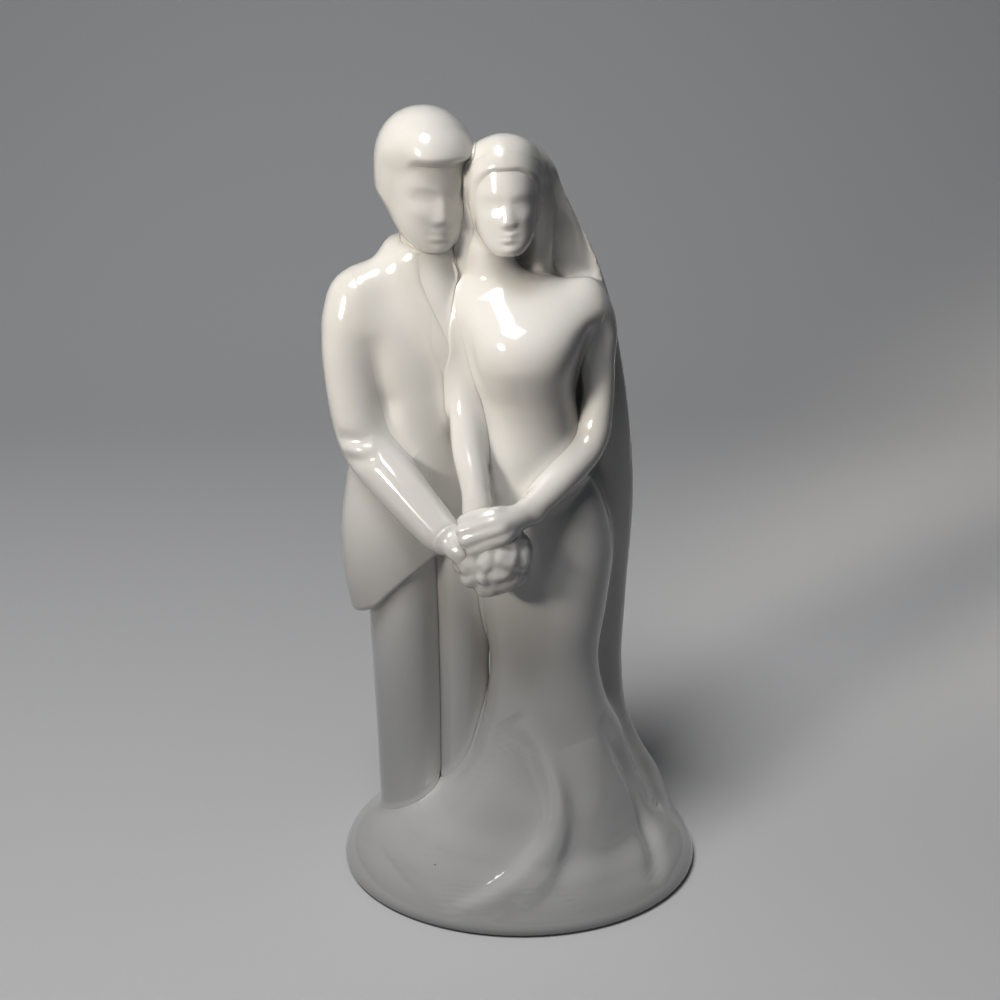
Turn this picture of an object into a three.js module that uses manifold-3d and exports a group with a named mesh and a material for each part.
// Wedding cake topper: a bride and groom in white glazed porcelain on an oval mound.
// Millimetres, +Z up, -Y to the front, +X to the viewer's right. The origin is the middle of the foot.
// "Left" and "right" in a part's name are the figure's own.

import * as THREE from "three";
import { LoftGeometry } from "three/addons/geometries/LoftGeometry.js";
import { mergeVertices } from "three/addons/utils/BufferGeometryUtils.js";
import Module from "manifold-3d";

const wasm = await Module();
wasm.setup();

// Fits and walls
const SEAM = 0.3; // gap between two luted sections
const TRAIN_WALL = 3.5; // cast wall of the mound
const WELD = 0.001; // distance at which mesh corners are one corner

// The mound and the levels of the gown
const FOOT_WIDTH = 72;
const FOOT_DEPTH = 56;
const FOOT_ROLL = 0.4; // how far the foot draws in below its widest line
const KNEE_SEAM = 31;
const WAIST_SEAM = 95;
const SLOPE_WIDTH = 31.4; // half-sizes of the mound where its slope begins
const SLOPE_DEPTH = 24.4;
const SWEEP_WIDTH = 25.9; // half-sizes of the mound where the train sweeps up from it
const SWEEP_DEPTH = 20.8;
const DRAIN_WIDTH = 12; // casting drain that runs up inside the gown
const DRAIN_DEPTH = 7.6;

// The jacket
const JACKET_HEM = 55;
const JACKET_TURN = 15; // degrees that the groom's chest turns towards the bride
const JACKET_DRAIN_WIDTH = 12;
const JACKET_DRAIN_DEPTH = 7;
const TROUSER_TOP = 74;

// Heads
const BRIDE_HEAD = { at: [-3.1, -1.2, 134.6], yaw: 4, pitch: -4, lean: -1.5 };
const BRIDE_HAIR_DEPTH = 0.8;
const VEIL_CAP_DEPTH = 1.9; // from the head to the outside of the veil
const GROOM_HEAD = { at: [-16.9, 3.4, 137.3], yaw: 24, pitch: 12, lean: 0 };
const GROOM_HAIR_DEPTH = 1.6;

// The bouquet
const BLOOM_COUNT = 14;
const BLOOM_RADIUS = 2.9;
const BOUQUET_AT = [-5.2, -15.6, 74.2];
const BOUQUET_HALF = [4.8, 3.7, 5.4]; // half-sizes of the egg that the blooms sit on
const GOLDEN_ANGLE = Math.PI * (3 - Math.sqrt(5));

// Folds of the veil, which fall behind it and grow towards its hem
const VEIL_FOLDS = 7; // how many would go right round it
const VEIL_FOLD_TOP = 0.15; // rise of a fold at the crown
const VEIL_FOLD_GAIN = 0.55; // further rise down to the hem
const VEIL_FOLDS_FROM = 135; // heights between which the folds grow
const VEIL_FOLDS_TO = 30;
const VEIL_FOLD_TWIST = 0.006; // turns that the folds shift for each millimetre of height
const VEIL_SIDE = 0.05; // sine of the angle from the veil's side edge where the folds begin
const VEIL_BACK = 0.5; // and where they are full

// Folds of the train: a path down the gown, the fold's rise (less than 0 is a hollow) and its width.
// The width on the left of the path's run may be a steeper one.
const TRAIN_FOLDS = [
  {
    path: [
      [-1.4, -9.6, 38.3],
      [2.2, -12.0, 33.0],
      [4.2, -14.8, 26.6],
      [3.8, -18.2, 19.6],
      [-1.2, -21.6, 12.8],
      [-8.4, -23.8, 8.0],
      [-15.4, -24.6, 4.8],
    ],
    width: 7,
    rise: -1.3,
    steep: 1.7,
  },
  {
    path: [
      [0.2, -10.2, 37.8],
      [3.6, -12.6, 32.4],
      [5.9, -15.2, 26.0],
      [5.7, -18.8, 18.6],
      [0.6, -22.6, 11.6],
      [-6.6, -24.8, 6.8],
      [-12.6, -25.6, 4.2],
    ],
    width: 1.7,
    rise: 1.2,
    steep: 3.4,
  },
  {
    path: [
      [0.6, -10.8, 37.5],
      [4.4, -13.2, 31.0],
      [7.2, -15.8, 23.5],
      [7.5, -18.3, 17.0],
      [4.8, -22.8, 10.4],
      [-0.6, -26.0, 6.0],
    ],
    width: 3,
    rise: 1.2,
    steep: 1.6,
  },
  {
    path: [
      [10.4, -12.0, 32.8],
      [13.8, -14.4, 21.5],
      [13.7, -19.6, 11.5],
      [9.0, -25.0, 6.0],
    ],
    width: 4.6,
    rise: 0.7,
  },
  {
    path: [
      [15.5, -7.0, 36.0],
      [17.5, -7.3, 31.0],
      [22.4, -5.7, 18.5],
      [25.5, -9.3, 11.5],
      [26.5, -14.4, 7.6],
      [26.0, -18.0, 5.0],
    ],
    width: 2.2,
    rise: -1.6,
  },
  {
    path: [
      [-3.0, -9.9, 33.7],
      [-5.5, -11.1, 27.8],
      [-10.2, -13.0, 21.0],
      [-16.2, -14.3, 14.6],
      [-24.0, -16.2, 7.4],
    ],
    width: 6,
    rise: 1.2,
  },
  {
    path: [
      [-8.0, 13.0, 26.0],
      [-13.0, 16.0, 15.0],
      [-19.0, 18.5, 8.0],
      [-22.0, 20.0, 4.0],
    ],
    width: 3.6,
    rise: -1.2,
  },
];
const FOLD_STEPS = 40; // points along a fold's path
const FOLD_REACH = 4; // a path lies no further than this from the skin that it lifts
const FOLD_FADE = 6; // the folds fade out below this height, towards the foot
const FOLD_ENDS = 0.7; // power of the sine by which a fold rises from its ends

// Hands and limbs
const FINGER_RADIUS = 1;
const FINGERS = 4;
const FINGER_ROOT = 0.7; // where a finger begins, as a share of the way from wrist to knuckle
const PALM_FULL = 0.6; // where the palm is still as thick as the wrist, as such a share
const KNUCKLE_THIN = 0.85; // thickness at the knuckles, as a share of the wrist's
const END_SLOPES = [0.7, 1.3]; // angles at which the rings of a rounded end lie
const EVERYTHING = 200; // longer than the whole figure, for cutters that run right through

// Sections of the gown, jacket, veil and legs: height, across, back, half-width, half-depth.
// The veil's rows have a depth behind, a depth in front, and how far the side edges bow forward.
const TRAIN = [
  [0, 0, 0, FOOT_WIDTH / 2 - FOOT_ROLL, FOOT_DEPTH / 2 - FOOT_ROLL],
  [1.4, 0, 0, FOOT_WIDTH / 2, FOOT_DEPTH / 2],
  [4.4, 0, 0, FOOT_WIDTH / 2 - 1, FOOT_DEPTH / 2 - 1],
  [8.4, 0.2, -0.3, SLOPE_WIDTH, SLOPE_DEPTH],
  [12.4, 1.3, -0.8, SWEEP_WIDTH, SWEEP_DEPTH],
  [16.4, 4.2, -1.3, 20.8, 18.0],
  [20.6, 5.5, -1.6, 17.9, 15.8],
  [KNEE_SEAM - 5.5, 6.1, -1.8, 15.7, 13.4],
  [KNEE_SEAM, 6.1, -1.8, 14.0, 11.4],
];
const TRAIN_HOLLOW = [
  [-1, 0, 0, FOOT_WIDTH / 2 - TRAIN_WALL, FOOT_DEPTH / 2 - TRAIN_WALL],
  [4, 0, 0, FOOT_WIDTH / 2 - TRAIN_WALL - 1, FOOT_DEPTH / 2 - TRAIN_WALL - 1],
  [8, 0.2, -0.3, SLOPE_WIDTH - TRAIN_WALL, SLOPE_DEPTH - TRAIN_WALL],
  [12, 1.3, -0.8, SWEEP_WIDTH - TRAIN_WALL, SWEEP_DEPTH - TRAIN_WALL],
  [15, 3.4, -1.2, 15, 13],
  [17, 4.0, -1.4, 9, 7.4],
];
const SKIRT = [
  [KNEE_SEAM + SEAM, 6.1, -1.8, 14.0, 11.4],
  [KNEE_SEAM + 6, 5.3, -1.7, 11.9, 10.0],
  [KNEE_SEAM + 15, 4.7, -1.1, 10.6, 9.0],
  [58, 4.5, -0.5, 12.0, 9.8],
  [70, 4.2, 0, 13.2, 10.2],
  [WAIST_SEAM - 15, 3.2, -0.1, 11.8, 9.4],
  [WAIST_SEAM - 7, 1.9, -0.4, 9.4, 7.8],
  [WAIST_SEAM, 1.3, -0.6, 8.4, 6.8],
];
const BODICE = [
  [WAIST_SEAM + SEAM, 1.3, -0.6, 8.4, 6.8],
  [WAIST_SEAM + 4, 1.2, -1.0, 8.9, 7.4],
  [WAIST_SEAM + 8, 1.0, -1.9, 10.0, 8.6],
  [107, 1.0, -2.4, 11.0, 9.3],
  [111.5, 1.0, -1.9, 12.2, 8.8],
  [115.6, 1.1, -0.5, 13.0, 7.2],
  [118.4, 0.6, 0.6, 12.0, 5.6],
  [120.2, -1.4, 1.2, 8.4, 4.4],
  [121.4, -3.6, 1.5, 5.2, 3.7],
];
const DRAIN = [
  [12, 4.0, -1.4, DRAIN_WIDTH / 2, DRAIN_DEPTH / 2],
  [KNEE_SEAM + 12, 4.8, -1.2, DRAIN_WIDTH / 2, DRAIN_DEPTH / 2],
  [72, 4.0, 0, DRAIN_WIDTH / 2, DRAIN_DEPTH / 2],
  [WAIST_SEAM - 8, 2.0, -0.4, DRAIN_WIDTH / 4, DRAIN_DEPTH / 4],
];
const JACKET = [
  [JACKET_HEM, -21.2, 5.0, 11.9, 9.3],
  [62, -21.4, 5.0, 12.8, 9.8],
  [72, -21.2, 5.0, 13.3, 10.0],
  [84, -20.4, 5.2, 12.4, 9.5],
  [92, -19.7, 5.6, 12.0, 9.3],
  [100, -19.0, 6.0, 13.0, 9.6],
  [108, -18.5, 6.2, 14.4, 9.6],
  [114, -18.5, 6.4, 15.4, 8.6],
  [118, -18.4, 6.6, 14.4, 7.2],
  [121, -18.2, 6.6, 11.6, 6.4],
  [123.6, -17.8, 6.2, 8.2, 5.8],
  [125.4, -17.4, 6.0, 6.0, 5.4],
];
const JACKET_DRAIN = [
  [JACKET_HEM - 1, -20, 5.2, JACKET_DRAIN_WIDTH / 2, JACKET_DRAIN_DEPTH / 2],
  [92, -19.4, 5.8, JACKET_DRAIN_WIDTH / 2, JACKET_DRAIN_DEPTH / 2],
  [108, -18.6, 6.4, JACKET_DRAIN_WIDTH / 4, JACKET_DRAIN_DEPTH / 4],
];
const RIGHT_LEG = [
  [6, -22.4, 3.0, 6.2, 6.7],
  [30, -22.4, 3.2, 6.5, 6.9],
  [45, -22.5, 3.6, 6.8, 7.6],
  [58, -22.4, 4.2, 7.1, 8.3],
  [TROUSER_TOP, -21.8, 4.8, 6.4, 8.0],
];
const LEFT_LEG = [
  [6, -11.4, 4.8, 5.2, 6.3],
  [30, -11.4, 5.0, 5.2, 6.5],
  [45, -11.4, 5.2, 5.4, 7.0],
  [58, -11.4, 5.4, 5.8, 7.8],
  [TROUSER_TOP, -12.2, 5.4, 5.6, 7.7],
];
const VEIL = [
  [144.2, -2.6, 2.8, 1.6, 1.5, 1.5, 0],
  [143.4, -2.4, 3.0, 4.4, 4.0, 4.0, 0],
  [141, -1.8, 4.2, 6.4, 5.0, 5.0, 1],
  [136, -0.3, 7.8, 7.4, 3.4, 2.8, 4.8],
  [130, 2.2, 10.0, 8.0, 2.8, 2.2, 6.8],
  [123, 4.6, 10.4, 8.8, 3.0, 2.6, 6.4],
  [117, 6.0, 10.4, 9.6, 3.4, 3.4, 4.8],
  [107, 7.5, 9.6, 10.5, 5.0, 5.0, 2.4],
  [96, 8.4, 9.4, 11.6, 6.0, 6.2, 1],
  [78, 9.2, 9.8, 12.7, 6.8, 6.8, 0],
  [54, 8.7, 10.2, 12.5, 6.6, 6.6, 0],
  [38, 8.4, 10.2, 12.6, 6.8, 6.8, 0],
  [28, 8.8, 10.0, 13.6, 7.6, 7.6, 0],
  [20, 10.2, 9.6, 15.6, 9.0, 9.0, 0],
  [13, 11.4, 9.4, 18.4, 11.4, 11.4, 0],
  [8, 11.8, 9.6, 19.8, 13.0, 13.0, 0],
].reverse();

// Heads about their own middle: height, across, back, half-width, depth behind, depth in front.
const BRIDE_SKULL = [
  [-8.9, 0, 0, 1.4, -3.6, 6.0],
  [-7.7, 0, 0, 3.0, -0.6, 6.7],
  [-5.0, 0, 0, 4.7, 3.6, 6.8],
  [-1.4, 0, 0, 5.5, 6.0, 6.6],
  [1.8, 0, 0, 5.8, 7.0, 6.4],
  [4.8, 0, 0, 5.4, 6.8, 5.7],
  [7.2, 0, 0, 3.9, 5.0, 4.1],
  [8.6, 0, 0, 1.4, 1.8, 1.5],
];
const GROOM_SKULL = [
  [-10.8, 0, 0, 1.9, -4.2, 7.4],
  [-9.5, 0, 0, 3.8, -0.4, 8.3],
  [-6.4, 0, 0, 6.2, 4.4, 8.5],
  [-2.8, 0, 0, 7.3, 8.0, 8.4],
  [1, 0, 0, 7.6, 9.2, 8.2],
  [4.8, 0, 0, 7.4, 9.3, 7.7],
  [8, 0, 0, 6.1, 7.8, 6.0],
  [10.2, 0, 0, 3.8, 5.0, 3.6],
  [11.1, 0, 0, 1.4, 2.0, 1.4],
];
// Outlines of what the hair and the veil leave bare, from the side: back and height from the head's middle.
const BRIDE_HAIRLINE = [
  [-20, 5.7],
  [-4.6, 5.5],
  [-2.7, 3],
  [-1.5, -1],
  [0.4, -5],
  [1.6, -8],
  [3, -20],
  [-20, -20],
];
const VEIL_LINE = [
  [-20, 7.6],
  [-3.6, 7.2],
  [-0.6, 5.2],
  [1.4, 0.6],
  [2.6, -4],
  [3.4, -20],
  [-20, -20],
];
const GROOM_HAIRLINE = [
  [-20, 4.8],
  [-6.4, 4.8],
  [-3.4, 2.6],
  [-2.6, -4.4],
  [1.0, -5.4],
  [4.6, -9.4],
  [20, -10],
  [20, -30],
  [-20, -30],
];
// Front edge of the jacket below its last button, as across and height.
const CUTAWAY_DROP = 30; // the cutter runs this far below the hem
const CUTAWAY = [
  [-44, JACKET_HEM - 0.5],
  [-33, JACKET_HEM + 0.2],
  [-28, JACKET_HEM + 2.8],
  [-22.8, JACKET_HEM + 8],
  [-17, JACKET_HEM + 13],
  [-12, JACKET_HEM + 15.6],
  [4, JACKET_HEM + 17],
  [4, JACKET_HEM - CUTAWAY_DROP],
  [-44, JACKET_HEM - CUTAWAY_DROP],
];
const CUTAWAY_BACK = 4; // the cutaway reaches this far back, behind it the hem is level

// Limbs: across, back, height, radius.
const BRIDE_LEFT_ARM = [
  [11.8, 1.3, 117.0, 2.5],
  [13.5, 1.2, 113.4, 3.0],
  [14.0, 0.6, 105, 2.8],
  [14.0, -0.4, 98, 2.7],
  [12.9, -2.2, 91.6, 2.9],
  [7.2, -8.2, 86.0, 2.9],
  [1.8, -13.4, 82.2, 2.5],
];
const BRIDE_RIGHT_ARM = [
  [-9.0, 0.6, 116.4, 2.4],
  [-10.5, -0.2, 112.8, 2.9],
  [-10.6, -1.6, 105, 2.8],
  [-10.2, -3.8, 97.5, 2.9],
  [-9.5, -8.0, 91.0, 3.0],
  [-8.4, -12.2, 86.4, 2.7],
  [-7.8, -14.4, 83.4, 2.4],
];
const GROOM_RIGHT_SLEEVE = [
  [-30.0, 2.8, 116.8, 4.3],
  [-31.0, 1.6, 112.2, 4.9],
  [-30.8, 0.3, 101, 5.0],
  [-28.2, -1.6, 90.4, 5.0],
  [-21.2, -7.6, 83.2, 4.5],
  [-14.8, -13.0, 77.6, 3.8],
];
const GROOM_LEFT_SLEEVE = [
  [-6.2, 10.0, 116.6, 4.2],
  [-4.4, 11.6, 112, 4.7],
  [-3.4, 13.0, 101, 4.6],
  [-4.2, 13.0, 91, 4.4],
  [-5.4, 12.0, 82, 4.0],
  [-6.2, 11.2, 76, 3.6],
];
const BRIDE_NECK = [
  [-4.2, 1.8, 117.6, 3.4],
  [-5.4, 1.6, 122.5, 3.1],
  [-5.2, 1.4, 128.6, 3.2],
];
const GROOM_NECK = [
  [-17.2, 5.8, 119, 4.6],
  [-16.8, 4.6, 129, 4.4],
];
const SHIRT_FRONT = [
  [-16.8, 0.4, 123.0, 2.6],
  [-15.6, -1.6, 117, 2.4],
  [-14.2, -3.4, 109.5, 1.4],
];
const COLLAR = [
  [-11.8, 3.4, 123.2, 1.3],
  [-13.2, 9.4, 124.4, 1.4],
  [-17.4, 11.4, 124.8, 1.5],
  [-21.8, 9.2, 125.2, 1.6],
  [-23.4, 4.6, 125.0, 1.9],
  [-22.6, 0.6, 121.6, 2.0],
  [-19.8, -2.2, 115.0, 2.0],
  [-16.0, -3.9, 107.8, 1.3],
];

// Hands: wrist, then the first and last knuckle and their finger tips.
const BRIDE_LEFT_HAND = {
  wrist: [1.6, -13.8, 81.9, 2.4],
  knuckles: [[-4.4, -17.8, 83.4], [-3.0, -19.8, 79.6]],
  tips: [[-10.4, -17.6, 81.6], [-8.6, -19.8, 77.4]],
};
const BRIDE_RIGHT_HAND = {
  wrist: [-8.0, -14.4, 83.2, 2.4],
  knuckles: [[-6.6, -16.4, 80.0], [-10.2, -15.6, 79.4]],
  tips: [[-6.2, -17.6, 77.0], [-10.6, -16.6, 76.4]],
};
const GROOM_RIGHT_HAND = {
  wrist: [-13.8, -14.0, 77.0, 2.7],
  knuckles: [[-11.8, -16.8, 77.6], [-12.8, -15.6, 73.8]],
  tips: [[-9.8, -19.0, 76.0], [-10.8, -18.0, 72.6]],
};
const GROOM_LEFT_HAND = {
  wrist: [-6.2, 11.2, 76.2, 2.6],
  knuckles: [[-7.8, 9.2, 71.6], [-5.0, 12.6, 71.6]],
  tips: [[-8.6, 8.2, 66.4], [-6.2, 11.4, 66.2]],
};

// One ring of a loft: an ellipse with a depth behind and one in front, its side edges bowed forward.
function ring(centre, right, back, size, sides) {
  const points = [];
  for (let i = 0; i < sides; i += 1) {
    const angle = (2 * Math.PI * i) / sides;
    const across = Math.cos(angle) * size.width;
    const middle = (size.behind - size.front) / 2;
    const bow = size.bow * Math.cos(angle) ** 2;
    const depth = middle + (Math.sin(angle) * (size.behind + size.front)) / 2 - bow;
    points.push(centre.clone().addScaledVector(right, across).addScaledVector(back, depth));
  }
  return points;
}

function skin(sections) {
  return new LoftGeometry(sections, { closed: true, capStart: true, capEnd: true });
}

// A smooth body through level sections, from the lowest row to the highest. A relief, if there is one,
// gives the shift of each point from the skin of the body as it is before it is grown.
function stack(rows, { rings, sides, grow = 0, turn = 0, relief }) {
  const centres = new THREE.CatmullRomCurve3(rows.map(([z, x, y]) => new THREE.Vector3(x, y, z)));
  const sizes = new THREE.CatmullRomCurve3(rows.map(([, , , w, b, f = b]) => new THREE.Vector3(w, b, f)));
  const bows = new THREE.CatmullRomCurve3(rows.map((row, i) => new THREE.Vector3(i, row[6] ?? 0, 0)));
  const upright = new THREE.Vector3(0, 0, 1);
  const right = new THREE.Vector3(1, 0, 0).applyAxisAngle(upright, THREE.MathUtils.degToRad(turn));
  const back = new THREE.Vector3().crossVectors(upright, right);
  const section = (i, more) => {
    const centre = centres.getPoint(i / rings);
    const drawn = sizes.getPoint(i / rings);
    if (i === 0) centre.z -= more;
    if (i === rings) centre.z += more;
    const bow = bows.getPoint(i / rings).y;
    const size = { width: drawn.x + more, behind: drawn.y + more, front: drawn.z + more, bow };
    return ring(centre, right, back, size, sides);
  };
  const steps = Array.from({ length: rings + 1 }, (_, i) => i);
  const sections = steps.map((i) => section(i, grow));
  if (relief) {
    const shift = relief(steps.map((i) => section(i, 0)));
    sections.forEach((points, i) => points.forEach((point, j) => point.add(shift(i, j))));
  }
  return skin(sections);
}

const folds = TRAIN_FOLDS.map(({ path, width, rise, steep = width }) => {
  const curve = new THREE.CatmullRomCurve3(path.map((point) => new THREE.Vector3(...point)));
  const spots = [];
  for (let i = 0; i <= FOLD_STEPS; i += 1) {
    const share = i / FOLD_STEPS;
    spots.push({ at: curve.getPointAt(share), run: curve.getTangentAt(share), share });
  }
  return { spots, width, rise, steep };
});

// How far a fold lifts a point of the skin: most on its path, less to the sides and towards its ends.
function lift(point, outward, { spots, width, rise, steep }) {
  const [first] = spots;
  const nearer = (a, b) => (b.at.distanceToSquared(point) < a.at.distanceToSquared(point) ? b : a);
  const { at, run, share } = spots.reduce(nearer, first);
  const away = point.clone().sub(at);
  const sideways = away.dot(run.clone().cross(outward));
  const spread = sideways < 0 ? steep : width;
  const near = 1 - THREE.MathUtils.smoothstep(Math.abs(away.dot(outward)), FOLD_REACH, 3 * FOLD_REACH);
  const along = Math.sin(Math.PI * share) ** FOLD_ENDS;
  return near * rise * along * Math.exp(-((sideways / spread) ** 2));
}

// Relief of the gown: the folds of the train, square to the skin and level at the ends of a section.
function folded(sections) {
  const last = sections.length - 1;
  return (i, j) => {
    const sides = sections[i].length;
    const point = sections[i][j];
    const up = sections[Math.min(i + 1, last)][j].clone().sub(sections[Math.max(i - 1, 0)][j]);
    const before = sections[i][(j + sides - 1) % sides];
    const outward = sections[i][(j + 1) % sides].clone().sub(before).cross(up);
    if (i === 0 || i === last) outward.z = 0;
    outward.normalize();
    const rise = folds.reduce((sum, fold) => sum + lift(point, outward, fold), 0);
    return outward.multiplyScalar(rise * THREE.MathUtils.smoothstep(point.z, 0, FOLD_FADE));
  };
}

// Relief of the veil: folds behind it that grow towards the hem.
function draped(sections) {
  const { smoothstep } = THREE.MathUtils;
  return (i, j) => {
    const share = j / sections[i].length;
    const { z } = sections[i][j];
    const behind = smoothstep(Math.sin(2 * Math.PI * share), VEIL_SIDE, VEIL_BACK);
    const low = VEIL_FOLD_GAIN * (1 - smoothstep(z, VEIL_FOLDS_TO, VEIL_FOLDS_FROM));
    const fold = Math.cos(2 * Math.PI * (VEIL_FOLDS * share + VEIL_FOLD_TWIST * z));
    return new THREE.Vector3(0, behind * (fold * (VEIL_FOLD_TOP + low) - low), 0);
  };
}

// A round limb along a smooth path, with a rounded end at both ends.
function limb(rows, { rings = 16, sides = 16, grow = 0 } = {}) {
  const path = new THREE.CatmullRomCurve3(rows.map(([x, y, z]) => new THREE.Vector3(x, y, z)));
  const radii = new THREE.CatmullRomCurve3(rows.map((row, i) => new THREE.Vector3(i, row[3], 0)));
  const frames = path.computeFrenetFrames(rings, false);
  const sections = [];
  const addRing = (i, slope) => {
    const radius = radii.getPoint(path.getUtoTmapping(i / rings)).y + grow;
    const centre = path.getPointAt(i / rings).addScaledVector(frames.tangents[i], radius * Math.sin(slope));
    const width = radius * Math.cos(slope);
    const size = { width, behind: width, front: width, bow: 0 };
    sections.push(ring(centre, frames.normals[i], frames.binormals[i], size, sides));
  };
  for (const slope of END_SLOPES.toReversed()) addRing(0, -slope);
  for (let i = 0; i <= rings; i += 1) addRing(i, 0);
  for (const slope of END_SLOPES) addRing(rings, slope);
  return skin(sections);
}

// A flat outline pushed along an axis, from one distance to another.
function slab(outline, basis, from, to) {
  const shape = new THREE.Shape(outline.map(([a, b]) => new THREE.Vector2(a, b)));
  const geometry = new THREE.ExtrudeGeometry(shape, { depth: to - from, bevelEnabled: false });
  return geometry.translate(0, 0, from).applyMatrix4(basis);
}

const SIDE_VIEW = new THREE.Matrix4().makeBasis(
  new THREE.Vector3(0, 1, 0),
  new THREE.Vector3(0, 0, 1),
  new THREE.Vector3(1, 0, 0),
);
const FRONT_VIEW = new THREE.Matrix4().makeBasis(
  new THREE.Vector3(1, 0, 0),
  new THREE.Vector3(0, 0, 1),
  new THREE.Vector3(0, -1, 0),
);

function onHead(geometry, head) {
  const { degToRad } = THREE.MathUtils;
  const facing = new THREE.Euler(degToRad(head.pitch), degToRad(head.lean), degToRad(head.yaw), "ZYX");
  return geometry.applyMatrix4(new THREE.Matrix4().makeRotationFromEuler(facing).setPosition(...head.at));
}

function solid(geometry) {
  const bare = new THREE.BufferGeometry();
  bare.setAttribute("position", geometry.getAttribute("position"));
  bare.setIndex(geometry.getIndex());
  const welded = mergeVertices(bare, WELD);
  return new wasm.Manifold(new wasm.Mesh({
    numProp: 3,
    vertProperties: Float32Array.from(welded.attributes.position.array),
    triVerts: Uint32Array.from(welded.index.array),
  }));
}

function joined(bodies) {
  return bodies.reduce((whole, body) => whole.add(body));
}

// What is left of a body after a cut, without the loose crumbs.
function largest(body) {
  return body.decompose().sort((a, b) => b.volume() - a.volume())[0];
}

function blend(a, b, share) {
  return a.map((value, i) => value + (b[i] - value) * share);
}

// A hand: a palm from the wrist to the middle of the knuckles and a row of fingers.
function hand({ wrist, knuckles, tips }, grow) {
  const heel = wrist.slice(0, 3);
  const middle = blend(knuckles[0], knuckles[1], 0.5);
  const palm = [wrist, [...blend(heel, middle, PALM_FULL), wrist[3]]];
  palm.push([...middle, wrist[3] * KNUCKLE_THIN]);
  const bodies = [solid(limb(palm, { rings: 2, sides: 8, grow }))];
  for (let i = 0; i < FINGERS; i += 1) {
    const share = i / (FINGERS - 1);
    const knuckle = blend(knuckles[0], knuckles[1], share);
    const tip = blend(tips[0], tips[1], share);
    const root = blend(heel, knuckle, FINGER_ROOT);
    const finger = [root, knuckle, tip].map((point) => [...point, FINGER_RADIUS]);
    bodies.push(solid(limb(finger, { rings: 2, sides: 6, grow })));
  }
  return joined(bodies);
}

function bouquet(grow) {
  const core = new THREE.SphereGeometry(1, 12, 8);
  core.scale(...BOUQUET_HALF.map((half) => half + grow));
  const bodies = [solid(core.translate(...BOUQUET_AT))];
  for (let i = 0; i < BLOOM_COUNT; i += 1) {
    const up = 1 - (2 * (i + 0.5)) / BLOOM_COUNT;
    const round = Math.sqrt(1 - up * up);
    const spot = [Math.cos(i * GOLDEN_ANGLE) * round, Math.sin(i * GOLDEN_ANGLE) * round, up];
    const centre = spot.map((value, axis) => BOUQUET_AT[axis] + value * BOUQUET_HALF[axis]);
    bodies.push(solid(new THREE.SphereGeometry(BLOOM_RADIUS + grow, 9, 6).translate(...centre)));
  }
  return joined(bodies);
}

// Hair, or the veil over it: a thicker copy of the head without what it leaves bare.
function hair(skull, depth, hairline, place) {
  const most = (column) => Math.max(...skull.map((row) => row[column]));
  const thicken = [most(3), most(4), most(0)].map((half) => 1 + depth / half);
  return (grow) => {
    const cap = stack(skull, { rings: 10, sides: 20, grow }).scale(...thicken);
    const bare = slab(hairline, SIDE_VIEW, -EVERYTHING, EVERYTHING).translate(0, -grow, -grow);
    return largest(solid(onHead(cap, place)).subtract(solid(onHead(bare, place))));
  };
}

function train(grow) {
  const mound = solid(stack(TRAIN, { rings: 16, sides: 56, grow, relief: folded }));
  const hollow = solid(stack(TRAIN_HOLLOW, { rings: 7, sides: 32, grow: -grow }));
  const drain = solid(stack(DRAIN, { rings: 4, sides: 16, grow: -grow }));
  return mound.subtract(hollow).subtract(drain);
}

function skirt(grow) {
  const gown = solid(stack(SKIRT, { rings: 14, sides: 36, grow, relief: folded }));
  return gown.subtract(solid(stack(DRAIN, { rings: 4, sides: 16, grow: -grow })));
}

function veil(grow) {
  const drape = solid(stack(VEIL, { rings: 22, sides: 44, grow, relief: draped }));
  return drape.add(hair(BRIDE_SKULL, VEIL_CAP_DEPTH, VEIL_LINE, BRIDE_HEAD)(grow));
}

function jacket(grow) {
  const coat = solid(stack(JACKET, { rings: 14, sides: 26, grow, turn: JACKET_TURN }));
  const drain = solid(stack(JACKET_DRAIN, { rings: 3, sides: 14, grow: -grow, turn: JACKET_TURN }));
  const cutaway = solid(slab(CUTAWAY, FRONT_VIEW, -CUTAWAY_BACK, EVERYTHING));
  return largest(coat.subtract(drain).subtract(cutaway));
}

const figure = new THREE.Group();
figure.name = "wedding_cake_topper";

const bride = new THREE.Group();
bride.name = "bride";
const groom = new THREE.Group();
groom.name = "groom";
figure.add(bride, groom);

const upright = (rows, rings, sides) => (grow) => solid(stack(rows, { rings, sides, grow }));
const head = (rows, place) => (grow) => solid(onHead(stack(rows, { rings: 10, sides: 18, grow }), place));
const round = (rows, rings, sides) => (grow) => solid(limb(rows, { rings, sides, grow }));

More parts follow.
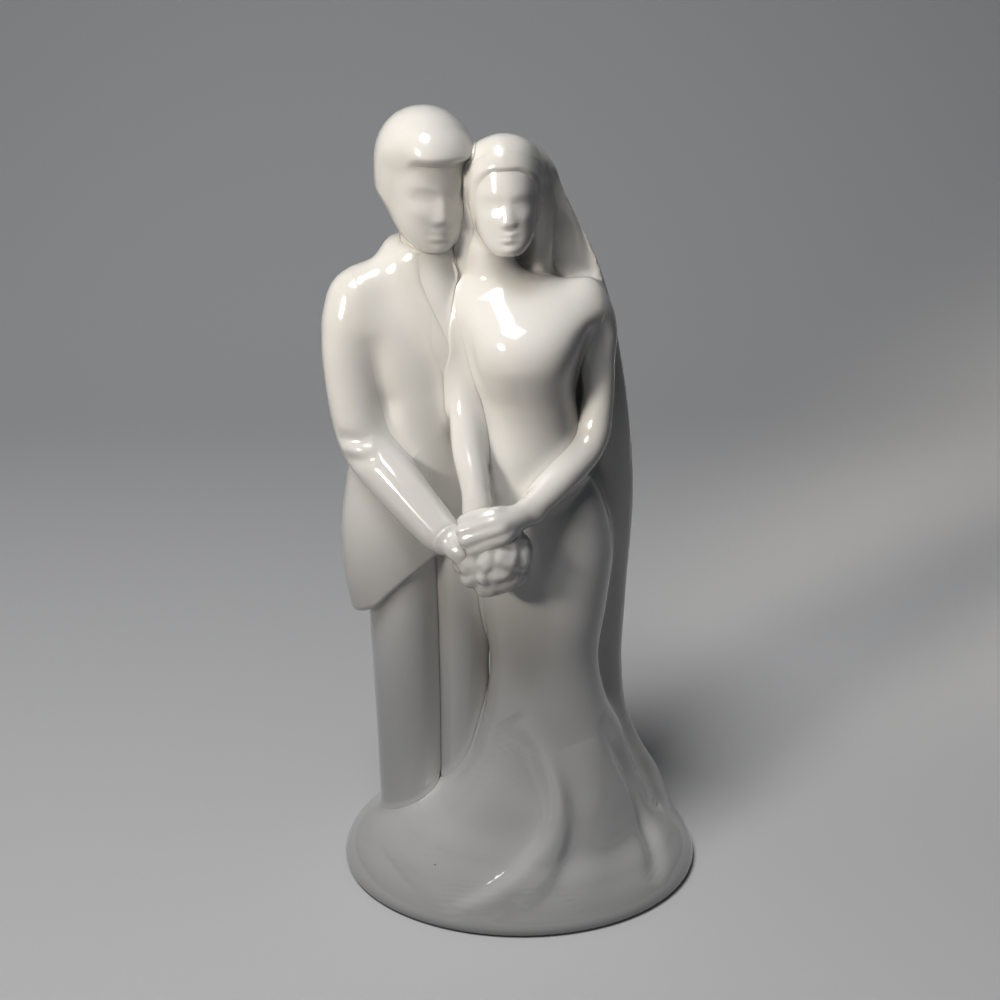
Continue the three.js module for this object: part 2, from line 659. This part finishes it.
// Every section, in the order they are fitted: each one is trimmed to those before it, less the seam.
const sections = [
  [bride, "bouquet", bouquet],
  [bride, "bride_left_hand", (grow) => hand(BRIDE_LEFT_HAND, grow)],
  [bride, "bride_right_hand", (grow) => hand(BRIDE_RIGHT_HAND, grow)],
  [groom, "groom_right_hand", (grow) => hand(GROOM_RIGHT_HAND, grow)],
  [bride, "bride_left_arm", round(BRIDE_LEFT_ARM, 11, 10)],
  [bride, "bride_right_arm", round(BRIDE_RIGHT_ARM, 11, 10)],
  [groom, "groom_right_sleeve", round(GROOM_RIGHT_SLEEVE, 11, 12)],
  [bride, "bride_head", head(BRIDE_SKULL, BRIDE_HEAD)],
  [bride, "bride_hair", hair(BRIDE_SKULL, BRIDE_HAIR_DEPTH, BRIDE_HAIRLINE, BRIDE_HEAD)],
  [bride, "bride_neck", round(BRIDE_NECK, 3, 12)],
  [bride, "gown_bodice", upright(BODICE, 11, 26)],
  [figure, "base_train", train],
  [bride, "gown_skirt", skirt],
  [groom, "groom_head", head(GROOM_SKULL, GROOM_HEAD)],
  [groom, "groom_hair", hair(GROOM_SKULL, GROOM_HAIR_DEPTH, GROOM_HAIRLINE, GROOM_HEAD)],
  [groom, "groom_neck", round(GROOM_NECK, 2, 12)],
  [groom, "jacket_collar", round(COLLAR, 16, 8)],
  [groom, "groom_shirt_front", round(SHIRT_FRONT, 4, 10)],
  [groom, "groom_left_hand", (grow) => hand(GROOM_LEFT_HAND, grow)],
  [groom, "groom_left_sleeve", round(GROOM_LEFT_SLEEVE, 9, 12)],
  [groom, "groom_right_leg", upright(RIGHT_LEG, 6, 18)],
  [groom, "groom_left_leg", upright(LEFT_LEG, 6, 18)],
  [groom, "groom_jacket", jacket],
  [bride, "bridal_veil", veil],
];

function mesh(name, body) {
  const { vertProperties, triVerts } = body.getMesh();
  const geometry = new THREE.BufferGeometry();
  geometry.setAttribute("position", new THREE.BufferAttribute(vertProperties, 3));
  geometry.setIndex(new THREE.BufferAttribute(triVerts, 1));
  geometry.computeVertexNormals();
  const glaze = new THREE.MeshStandardMaterial({ color: 0xf1ece4, roughness: 0.12, metalness: 0 });
  const part = new THREE.Mesh(geometry, glaze);
  part.name = name;
  return part;
}

let fitted = null;
for (const [owner, name, build] of sections) {
  const body = fitted ? largest(build(0).subtract(fitted)) : build(0);
  owner.add(mesh(name, body));
  fitted = fitted ? fitted.add(build(SEAM)) : build(SEAM);
}

export default figure;
